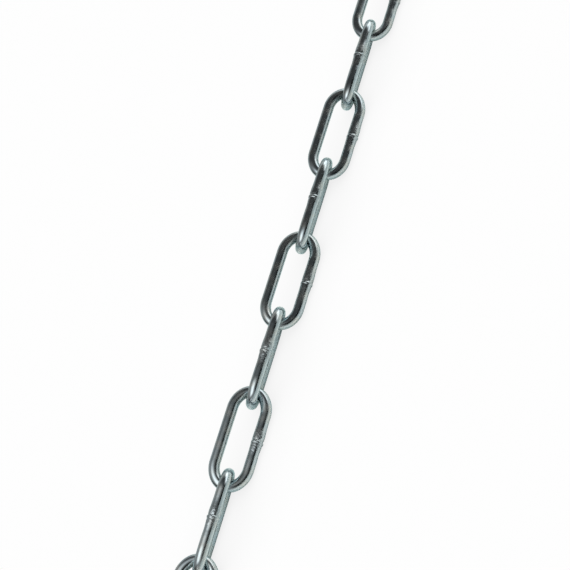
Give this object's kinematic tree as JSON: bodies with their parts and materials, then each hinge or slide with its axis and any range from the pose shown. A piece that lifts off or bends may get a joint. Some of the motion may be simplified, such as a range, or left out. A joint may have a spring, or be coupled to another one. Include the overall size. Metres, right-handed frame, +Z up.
{
  "type": "long-link steel chain",
  "caption": "Straight metre of long-link steel chain: butt-welded links of bright zinc-plated round wire, each free to swing in the next.",
  "frame": {"origin": "on the floor under the middle link, at the middle of the box of the whole chain", "axes": "+X along the chain, +Z up; the chain lies straight, its links leaning 45 degrees to +Y and to -Y by turns, with all its welds on the -Y side"},
  "size_m": [0.985, 0.013, 0.013],
  "materials": {
    "zinc_plated_steel": "bright zinc plating over drawn steel wire, faintly blue-green where it is passivated"
  },
  "bodies": {
    "link_01": {"link_01": "zinc_plated_steel"},
    "link_02": {"link_02": "zinc_plated_steel"},
    "link_03": {"link_03": "zinc_plated_steel"},
    "link_04": {"link_04": "zinc_plated_steel"},
    "link_05": {"link_05": "zinc_plated_steel"},
    "link_06": {"link_06": "zinc_plated_steel"},
    "link_07": {"link_07": "zinc_plated_steel"},
    "link_08": {"link_08": "zinc_plated_steel"},
    "link_09": {"link_09": "zinc_plated_steel"},
    "link_10": {"link_10": "zinc_plated_steel"},
    "link_11": {"link_11": "zinc_plated_steel"},
    "link_12": {"link_12": "zinc_plated_steel"},
    "link_13": {"link_13": "zinc_plated_steel"},
    "link_14": {"link_14": "zinc_plated_steel"},
    "link_15": {"link_15": "zinc_plated_steel"},
    "link_16": {"link_16": "zinc_plated_steel"},
    "link_17": {"link_17": "zinc_plated_steel"},
    "link_18": {"link_18": "zinc_plated_steel"},
    "link_19": {"link_19": "zinc_plated_steel"},
    "link_20": {"link_20": "zinc_plated_steel"},
    "link_21": {"link_21": "zinc_plated_steel"},
    "link_22": {"link_22": "zinc_plated_steel"},
    "link_23": {"link_23": "zinc_plated_steel"},
    "link_24": {"link_24": "zinc_plated_steel"},
    "link_25": {"link_25": "zinc_plated_steel"},
    "link_26": {"link_26": "zinc_plated_steel"},
    "link_27": {"link_27": "zinc_plated_steel"},
    "link_28": {"link_28": "zinc_plated_steel"},
    "link_29": {"link_29": "zinc_plated_steel"},
    "link_30": {"link_30": "zinc_plated_steel"},
    "link_31": {"link_31": "zinc_plated_steel"}
  },
  "joints": [
    {"name": "crossing_16_17", "type": "hinge", "parent": "link_16", "child": "link_17", "pos_m": [0.018, 0.00026, 0.00624], "axis": [0, 0.7071, 0.7071], "range_deg": [-120, 120]},
    {"name": "crossing_17_18", "type": "hinge", "parent": "link_17", "child": "link_18", "pos_m": [0.0495, 0.00026, 0.00624], "axis": [0, -0.7071, 0.7071], "range_deg": [-120, 120]},
    {"name": "crossing_18_19", "type": "hinge", "parent": "link_18", "child": "link_19", "pos_m": [0.081, 0.00026, 0.00624], "axis": [0, -0.7071, -0.7071], "range_deg": [-120, 120]},
    {"name": "crossing_19_20", "type": "hinge", "parent": "link_19", "child": "link_20", "pos_m": [0.1125, 0.00026, 0.00624], "axis": [0, 0.7071, -0.7071], "range_deg": [-120, 120]},
    {"name": "crossing_20_21", "type": "hinge", "parent": "link_20", "child": "link_21", "pos_m": [0.144, 0.00026, 0.00624], "axis": [0, 0.7071, 0.7071], "range_deg": [-120, 120]},
    {"name": "crossing_21_22", "type": "hinge", "parent": "link_21", "child": "link_22", "pos_m": [0.1755, 0.00026, 0.00624], "axis": [0, -0.7071, 0.7071], "range_deg": [-120, 120]},
    {"name": "crossing_22_23", "type": "hinge", "parent": "link_22", "child": "link_23", "pos_m": [0.207, 0.00026, 0.00624], "axis": [0, -0.7071, -0.7071], "range_deg": [-120, 120]},
    {"name": "crossing_23_24", "type": "hinge", "parent": "link_23", "child": "link_24", "pos_m": [0.2385, 0.00026, 0.00624], "axis": [0, 0.7071, -0.7071], "range_deg": [-120, 120]},
    {"name": "crossing_24_25", "type": "hinge", "parent": "link_24", "child": "link_25", "pos_m": [0.27, 0.00026, 0.00624], "axis": [0, 0.7071, 0.7071], "range_deg": [-120, 120]},
    {"name": "crossing_25_26", "type": "hinge", "parent": "link_25", "child": "link_26", "pos_m": [0.3015, 0.00026, 0.00624], "axis": [0, -0.7071, 0.7071], "range_deg": [-120, 120]},
    {"name": "crossing_26_27", "type": "hinge", "parent": "link_26", "child": "link_27", "pos_m": [0.333, 0.00026, 0.00624], "axis": [0, -0.7071, -0.7071], "range_deg": [-120, 120]},
    {"name": "crossing_27_28", "type": "hinge", "parent": "link_27", "child": "link_28", "pos_m": [0.3645, 0.00026, 0.00624], "axis": [0, 0.7071, -0.7071], "range_deg": [-120, 120]},
    {"name": "crossing_28_29", "type": "hinge", "parent": "link_28", "child": "link_29", "pos_m": [0.396, 0.00026, 0.00624], "axis": [0, 0.7071, 0.7071], "range_deg": [-120, 120]},
    {"name": "crossing_29_30", "type": "hinge", "parent": "link_29", "child": "link_30", "pos_m": [0.4275, 0.00026, 0.00624], "axis": [0, -0.7071, 0.7071], "range_deg": [-120, 120]},
    {"name": "crossing_30_31", "type": "hinge", "parent": "link_30", "child": "link_31", "pos_m": [0.459, 0.00026, 0.00624], "axis": [0, -0.7071, -0.7071], "range_deg": [-120, 120]},
    {"name": "crossing_15_16", "type": "hinge", "parent": "link_16", "child": "link_15", "pos_m": [-0.018, 0.00026, 0.00624], "axis": [0, 0.7071, 0.7071], "range_deg": [-120, 120]},
    {"name": "crossing_14_15", "type": "hinge", "parent": "link_15", "child": "link_14", "pos_m": [-0.0495, 0.00026, 0.00624], "axis": [0, 0.7071, -0.7071], "range_deg": [-120, 120]},
    {"name": "crossing_13_14", "type": "hinge", "parent": "link_14", "child": "link_13", "pos_m": [-0.081, 0.00026, 0.00624], "axis": [0, -0.7071, -0.7071], "range_deg": [-120, 120]},
    {"name": "crossing_12_13", "type": "hinge", "parent": "link_13", "child": "link_12", "pos_m": [-0.1125, 0.00026, 0.00624], "axis": [0, -0.7071, 0.7071], "range_deg": [-120, 120]},
    {"name": "crossing_11_12", "type": "hinge", "parent": "link_12", "child": "link_11", "pos_m": [-0.144, 0.00026, 0.00624], "axis": [0, 0.7071, 0.7071], "range_deg": [-120, 120]},
    {"name": "crossing_10_11", "type": "hinge", "parent": "link_11", "child": "link_10", "pos_m": [-0.1755, 0.00026, 0.00624], "axis": [0, 0.7071, -0.7071], "range_deg": [-120, 120]},
    {"name": "crossing_09_10", "type": "hinge", "parent": "link_10", "child": "link_09", "pos_m": [-0.207, 0.00026, 0.00624], "axis": [0, -0.7071, -0.7071], "range_deg": [-120, 120]},
    {"name": "crossing_08_09", "type": "hinge", "parent": "link_09", "child": "link_08", "pos_m": [-0.2385, 0.00026, 0.00624], "axis": [0, -0.7071, 0.7071], "range_deg": [-120, 120]},
    {"name": "crossing_07_08", "type": "hinge", "parent": "link_08", "child": "link_07", "pos_m": [-0.27, 0.00026, 0.00624], "axis": [0, 0.7071, 0.7071], "range_deg": [-120, 120]},
    {"name": "crossing_06_07", "type": "hinge", "parent": "link_07", "child": "link_06", "pos_m": [-0.3015, 0.00026, 0.00624], "axis": [0, 0.7071, -0.7071], "range_deg": [-120, 120]},
    {"name": "crossing_05_06", "type": "hinge", "parent": "link_06", "child": "link_05", "pos_m": [-0.333, 0.00026, 0.00624], "axis": [0, -0.7071, -0.7071], "range_deg": [-120, 120]},
    {"name": "crossing_04_05", "type": "hinge", "parent": "link_05", "child": "link_04", "pos_m": [-0.3645, 0.00026, 0.00624], "axis": [0, -0.7071, 0.7071], "range_deg": [-120, 120]},
    {"name": "crossing_03_04", "type": "hinge", "parent": "link_04", "child": "link_03", "pos_m": [-0.396, 0.00026, 0.00624], "axis": [0, 0.7071, 0.7071], "range_deg": [-120, 120]},
    {"name": "crossing_02_03", "type": "hinge", "parent": "link_03", "child": "link_02", "pos_m": [-0.4275, 0.00026, 0.00624], "axis": [0, 0.7071, -0.7071], "range_deg": [-120, 120]},
    {"name": "crossing_01_02", "type": "hinge", "parent": "link_02", "child": "link_01", "pos_m": [-0.459, 0.00026, 0.00624], "axis": [0, -0.7071, -0.7071], "range_deg": [-120, 120]}
  ]
}
